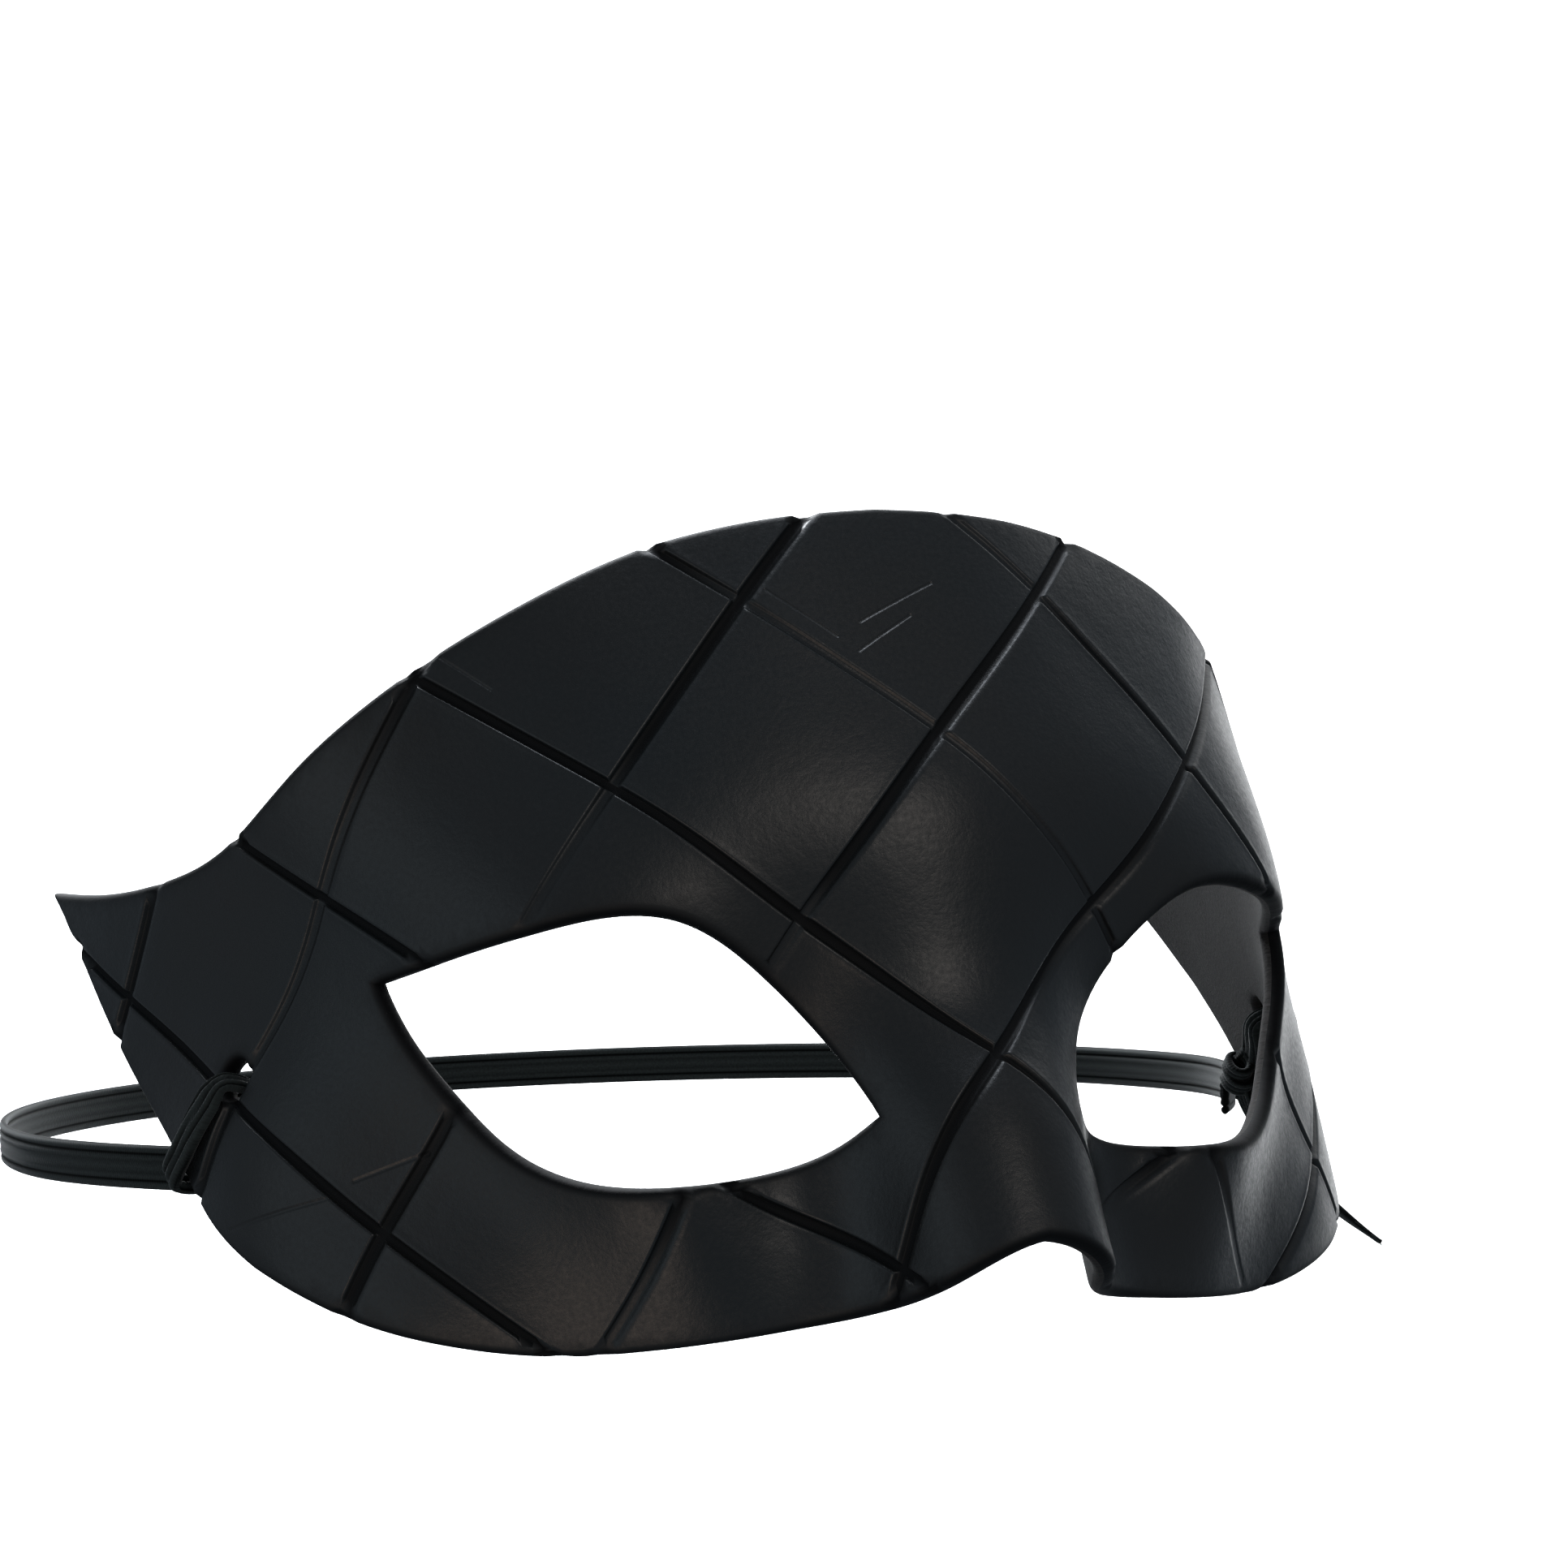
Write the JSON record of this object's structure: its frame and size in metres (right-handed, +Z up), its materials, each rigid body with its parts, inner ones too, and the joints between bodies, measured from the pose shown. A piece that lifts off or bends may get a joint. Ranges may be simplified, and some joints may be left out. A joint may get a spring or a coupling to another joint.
{
  "type": "leather masquerade half mask with elastic head band",
  "caption": "Moulded black leather half mask carved with a diamond grid, with open eye holes, a nose bridge and a flat elastic head band tied through its temples.",
  "frame": {"origin": "on the middle line, where the inner face of the nose bridge sits on the nose", "axes": "+Z up as worn, -Y the way the wearer looks, +X towards the wearer's left"},
  "size_m": [0.1593, 0.203, 0.0896],
  "materials": {
    "black_leather": "vegetable-tanned leather, carved, wet-moulded, dyed black and finished satin",
    "black_elastic": "flat braided elastic, black, matt"
  },
  "bodies": {
    "root": {"mask_shell": "black_leather", "head_band": "black_elastic", "tie_left": "black_elastic", "tie_right": "black_elastic"}
  },
  "joints": []
}
